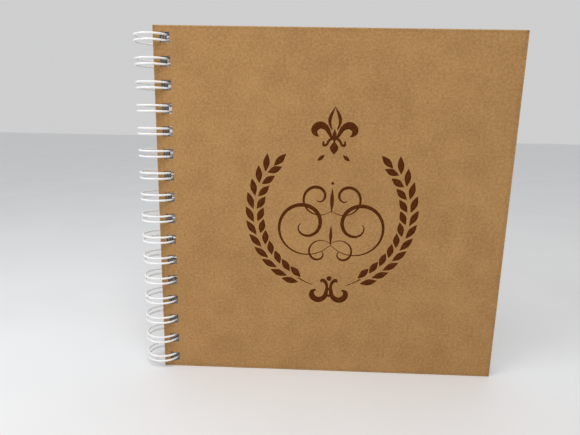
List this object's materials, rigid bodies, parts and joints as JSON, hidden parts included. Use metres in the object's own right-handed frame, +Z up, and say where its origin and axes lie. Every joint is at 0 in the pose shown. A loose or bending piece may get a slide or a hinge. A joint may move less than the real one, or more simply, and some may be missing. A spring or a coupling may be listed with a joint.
{
  "type": "scrapbook album",
  "caption": "Square scrapbook album with kraft-wrapped hard covers and punched card leaves, turning on a white twin-loop wire binding along the spine.",
  "frame": {"origin": "middle of the closed album's footprint, on the surface that it stands on", "axes": "+Z up along the spine, +X from the spine to the fore-edge, front cover facing -Y"},
  "size_m": [0.2156, 0.0214, 0.2032],
  "materials": {
    "kraft_paper": "matte kraft paper",
    "grey_board": "matte grey board",
    "lining_paper": "matte paper",
    "leaf_card": "matte card",
    "coated_wire": "glossy white coating"
  },
  "bodies": {
    "binding": {"binding_wire": "coated_wire"},
    "front_cover": {"front_cover_board": "grey_board", "front_cover_wrap": "kraft_paper", "front_cover_lining": "lining_paper"},
    "back_cover": {"back_cover_board": "grey_board", "back_cover_wrap": "kraft_paper", "back_cover_lining": "lining_paper"},
    "leaf_01": {"leaf_01": "leaf_card"},
    "leaf_02": {"leaf_02": "leaf_card"},
    "leaf_03": {"leaf_03": "leaf_card"},
    "leaf_04": {"leaf_04": "leaf_card"},
    "leaf_05": {"leaf_05": "leaf_card"},
    "leaf_06": {"leaf_06": "leaf_card"},
    "leaf_07": {"leaf_07": "leaf_card"},
    "leaf_08": {"leaf_08": "leaf_card"},
    "leaf_09": {"leaf_09": "leaf_card"},
    "leaf_10": {"leaf_10": "leaf_card"},
    "leaf_11": {"leaf_11": "leaf_card"},
    "leaf_12": {"leaf_12": "leaf_card"},
    "leaf_13": {"leaf_13": "leaf_card"},
    "leaf_14": {"leaf_14": "leaf_card"},
    "leaf_15": {"leaf_15": "leaf_card"},
    "leaf_16": {"leaf_16": "leaf_card"},
    "leaf_17": {"leaf_17": "leaf_card"},
    "leaf_18": {"leaf_18": "leaf_card"},
    "leaf_19": {"leaf_19": "leaf_card"},
    "leaf_20": {"leaf_20": "leaf_card"}
  },
  "joints": [
    {"name": "front_cover_turn", "type": "hinge", "parent": "binding", "child": "front_cover", "pos_m": [-0.0971, 0, 0], "axis": [0, 0, -1], "range_deg": [0, 180]},
    {"name": "back_cover_turn", "type": "hinge", "parent": "binding", "child": "back_cover", "pos_m": [-0.0971, 0, 0], "axis": [0, 0, -1], "range_deg": [-20, 0]},
    {"name": "leaf_01_turn", "type": "hinge", "parent": "binding", "child": "leaf_01", "pos_m": [-0.0971, 0, 0], "axis": [0, 0, -1], "range_deg": [0, 178.2]},
    {"name": "leaf_02_turn", "type": "hinge", "parent": "binding", "child": "leaf_02", "pos_m": [-0.0971, 0, 0], "axis": [0, 0, -1], "range_deg": [0, 176.4]},
    {"name": "leaf_03_turn", "type": "hinge", "parent": "binding", "child": "leaf_03", "pos_m": [-0.0971, 0, 0], "axis": [0, 0, -1], "range_deg": [0, 174.6]},
    {"name": "leaf_04_turn", "type": "hinge", "parent": "binding", "child": "leaf_04", "pos_m": [-0.0971, 0, 0], "axis": [0, 0, -1], "range_deg": [0, 172.8]},
    {"name": "leaf_05_turn", "type": "hinge", "parent": "binding", "child": "leaf_05", "pos_m": [-0.0971, 0, 0], "axis": [0, 0, -1], "range_deg": [0, 171]},
    {"name": "leaf_06_turn", "type": "hinge", "parent": "binding", "child": "leaf_06", "pos_m": [-0.0971, 0, 0], "axis": [0, 0, -1], "range_deg": [0, 169.2]},
    {"name": "leaf_07_turn", "type": "hinge", "parent": "binding", "child": "leaf_07", "pos_m": [-0.0971, 0, 0], "axis": [0, 0, -1], "range_deg": [0, 167.4]},
    {"name": "leaf_08_turn", "type": "hinge", "parent": "binding", "child": "leaf_08", "pos_m": [-0.0971, 0, 0], "axis": [0, 0, -1], "range_deg": [0, 165.6]},
    {"name": "leaf_09_turn", "type": "hinge", "parent": "binding", "child": "leaf_09", "pos_m": [-0.0971, 0, 0], "axis": [0, 0, -1], "range_deg": [0, 163.8]},
    {"name": "leaf_10_turn", "type": "hinge", "parent": "binding", "child": "leaf_10", "pos_m": [-0.0971, 0, 0], "axis": [0, 0, -1], "range_deg": [0, 162]},
    {"name": "leaf_11_turn", "type": "hinge", "parent": "binding", "child": "leaf_11", "pos_m": [-0.0971, 0, 0], "axis": [0, 0, -1], "range_deg": [0, 18]},
    {"name": "leaf_12_turn", "type": "hinge", "parent": "binding", "child": "leaf_12", "pos_m": [-0.0971, 0, 0], "axis": [0, 0, -1], "range_deg": [0, 16.2]},
    {"name": "leaf_13_turn", "type": "hinge", "parent": "binding", "child": "leaf_13", "pos_m": [-0.0971, 0, 0], "axis": [0, 0, -1], "range_deg": [0, 14.4]},
    {"name": "leaf_14_turn", "type": "hinge", "parent": "binding", "child": "leaf_14", "pos_m": [-0.0971, 0, 0], "axis": [0, 0, -1], "range_deg": [0, 12.6]},
    {"name": "leaf_15_turn", "type": "hinge", "parent": "binding", "child": "leaf_15", "pos_m": [-0.0971, 0, 0], "axis": [0, 0, -1], "range_deg": [0, 10.8]},
    {"name": "leaf_16_turn", "type": "hinge", "parent": "binding", "child": "leaf_16", "pos_m": [-0.0971, 0, 0], "axis": [0, 0, -1], "range_deg": [0, 9]},
    {"name": "leaf_17_turn", "type": "hinge", "parent": "binding", "child": "leaf_17", "pos_m": [-0.0971, 0, 0], "axis": [0, 0, -1], "range_deg": [0, 7.2]},
    {"name": "leaf_18_turn", "type": "hinge", "parent": "binding", "child": "leaf_18", "pos_m": [-0.0971, 0, 0], "axis": [0, 0, -1], "range_deg": [0, 5.4]},
    {"name": "leaf_19_turn", "type": "hinge", "parent": "binding", "child": "leaf_19", "pos_m": [-0.0971, 0, 0], "axis": [0, 0, -1], "range_deg": [0, 3.6]},
    {"name": "leaf_20_turn", "type": "hinge", "parent": "binding", "child": "leaf_20", "pos_m": [-0.0971, 0, 0], "axis": [0, 0, -1], "range_deg": [0, 1.8]}
  ],
  "couplings": [
    {"joint": "leaf_01_turn", "follows": "front_cover_turn", "ratio": 0.99},
    {"joint": "leaf_02_turn", "follows": "front_cover_turn", "ratio": 0.98},
    {"joint": "leaf_03_turn", "follows": "front_cover_turn", "ratio": 0.97},
    {"joint": "leaf_04_turn", "follows": "front_cover_turn", "ratio": 0.96},
    {"joint": "leaf_05_turn", "follows": "front_cover_turn", "ratio": 0.95},
    {"joint": "leaf_06_turn", "follows": "front_cover_turn", "ratio": 0.94},
    {"joint": "leaf_07_turn", "follows": "front_cover_turn", "ratio": 0.93},
    {"joint": "leaf_08_turn", "follows": "front_cover_turn", "ratio": 0.92},
    {"joint": "leaf_09_turn", "follows": "front_cover_turn", "ratio": 0.91},
    {"joint": "leaf_10_turn", "follows": "front_cover_turn", "ratio": 0.9},
    {"joint": "leaf_11_turn", "follows": "front_cover_turn", "ratio": 0.1},
    {"joint": "leaf_12_turn", "follows": "front_cover_turn", "ratio": 0.09},
    {"joint": "leaf_13_turn", "follows": "front_cover_turn", "ratio": 0.08},
    {"joint": "leaf_14_turn", "follows": "front_cover_turn", "ratio": 0.07},
    {"joint": "leaf_15_turn", "follows": "front_cover_turn", "ratio": 0.06},
    {"joint": "leaf_16_turn", "follows": "front_cover_turn", "ratio": 0.05},
    {"joint": "leaf_17_turn", "follows": "front_cover_turn", "ratio": 0.04},
    {"joint": "leaf_18_turn", "follows": "front_cover_turn", "ratio": 0.03},
    {"joint": "leaf_19_turn", "follows": "front_cover_turn", "ratio": 0.02},
    {"joint": "leaf_20_turn", "follows": "front_cover_turn", "ratio": 0.01}
  ]
}
